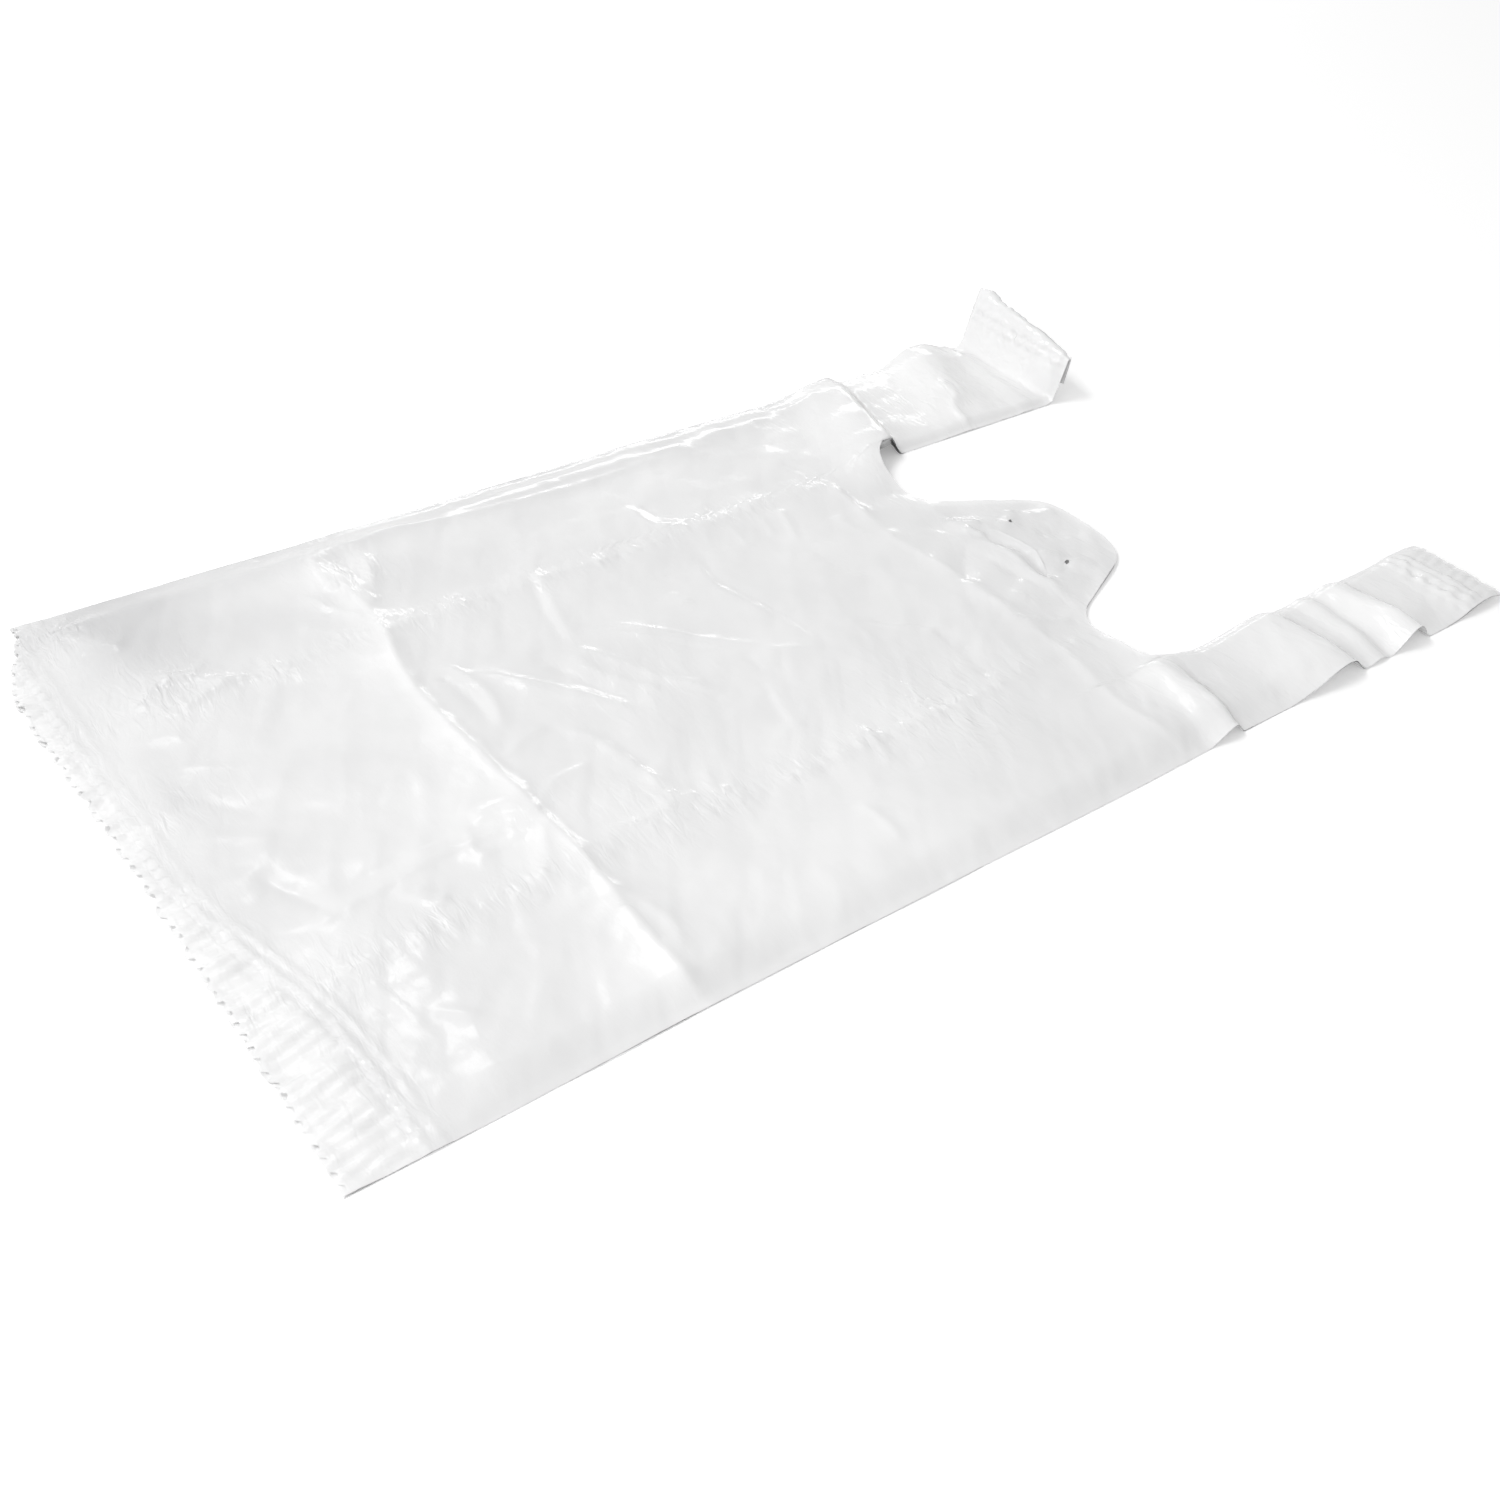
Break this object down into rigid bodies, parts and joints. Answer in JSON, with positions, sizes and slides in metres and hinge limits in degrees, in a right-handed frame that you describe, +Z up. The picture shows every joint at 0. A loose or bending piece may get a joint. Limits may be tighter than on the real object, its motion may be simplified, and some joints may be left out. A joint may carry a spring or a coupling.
{
  "type": "plastic carrier bag",
  "caption": "Vest-type carrier bag of thin white film, lying flat with its sides tucked in, with handles either side of a hanging tab; the end of the far handle stands up.",
  "frame": {"origin": "bottom centre of the box round the bag as it lies, on the surface it lies on", "axes": "+Y from the bottom weld towards the handle tops, +X across the bag, +Z up out of the surface it lies on"},
  "size_m": [0.28, 0.53, 0.0313],
  "materials": {
    "white_film": "thin white polyethylene film, slightly see-through, soft gloss"
  },
  "bodies": {
    "root": {"carrier_bag": "white_film"}
  },
  "joints": []
}
